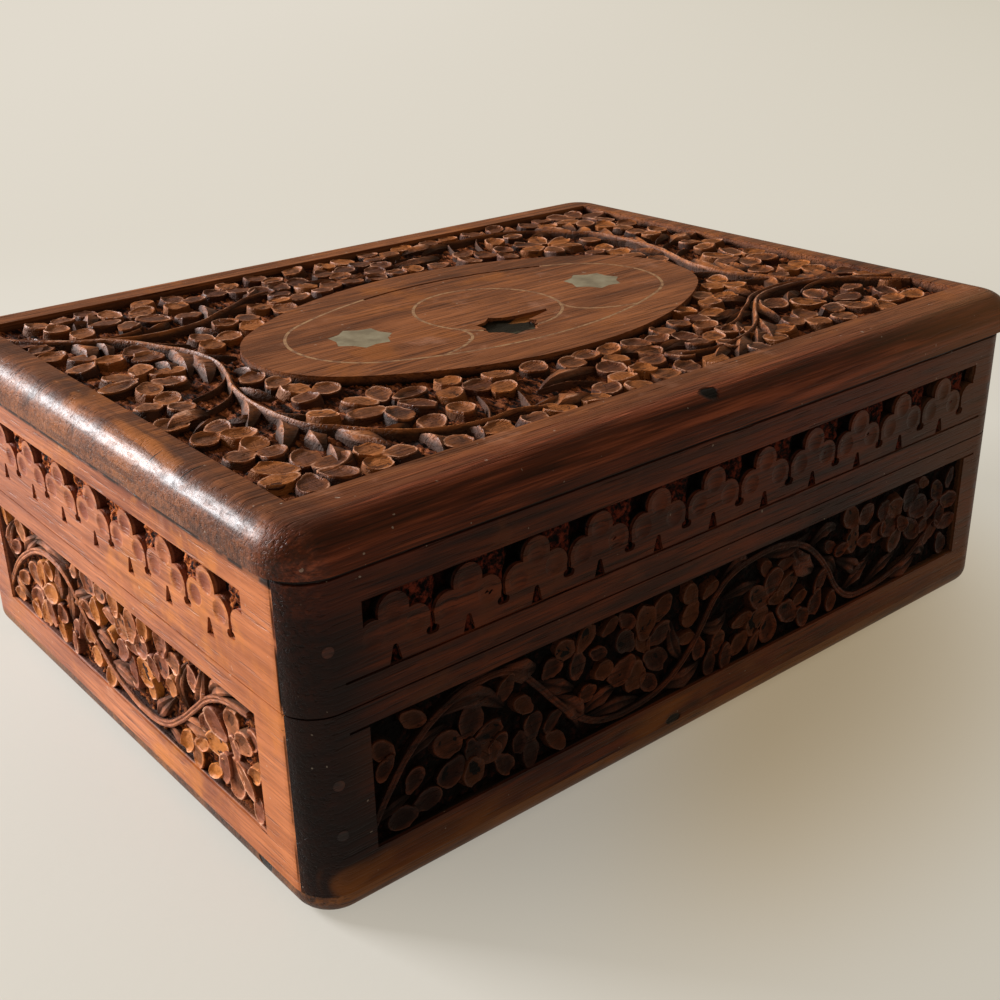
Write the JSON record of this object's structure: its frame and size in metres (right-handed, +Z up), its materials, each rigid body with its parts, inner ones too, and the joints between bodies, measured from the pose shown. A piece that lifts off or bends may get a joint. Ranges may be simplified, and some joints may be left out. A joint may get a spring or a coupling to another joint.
{
  "type": "keepsake box",
  "caption": "Carved hardwood box with a hinged lid, an oval plaque with wire inlay on top, and carved bands and panels round its sides.",
  "frame": {"origin": "middle of the flat underside that the box rests on", "axes": "+X along the length to the right as seen from the front, +Y from the front to the hinged back, +Z up"},
  "size_m": [0.2542, 0.1932, 0.0943],
  "materials": {
    "end_grain_wood": "worn, oiled",
    "dark_wood": "dark, aged polish worn at the edges",
    "end_wood": "worn, oiled, carved",
    "top_wood": "worn polish, carved",
    "peg_wood": "end grain, flush",
    "inlay_brass": "dull, tarnished wire",
    "inlay_stone": "smooth, pale grey-green",
    "hinge_brass": "aged, dull"
  },
  "bodies": {
    "box": {"base_board": "end_grain_wood", "front_board": "dark_wood", "back_board": "dark_wood", "left_end_board": "end_wood", "right_end_board": "end_wood", "body_pegs": "peg_wood", "left_hinge_body_leaf": "hinge_brass", "right_hinge_body_leaf": "hinge_brass", "left_hinge_pin": "hinge_brass", "right_hinge_pin": "hinge_brass", "body_hinge_screws": "hinge_brass"},
    "lid": {"lid_top_board": "top_wood", "lid_front_board": "dark_wood", "lid_back_board": "dark_wood", "lid_left_board": "end_wood", "lid_right_board": "end_wood", "lid_pegs": "peg_wood", "oval_wire": "inlay_brass", "ring_strip": "inlay_brass", "left_lobe_strip": "inlay_brass", "right_lobe_strip": "inlay_brass", "left_rosette": "inlay_stone", "right_rosette": "inlay_stone", "left_hinge_lid_leaf": "hinge_brass", "right_hinge_lid_leaf": "hinge_brass", "lid_hinge_screws": "hinge_brass"}
  },
  "joints": [
    {"name": "lid_hinge", "type": "hinge", "parent": "box", "child": "lid", "pos_m": [0, 0.0949, 0.0515], "axis": [-1, 0, 0], "range_deg": [0, 178]}
  ]
}
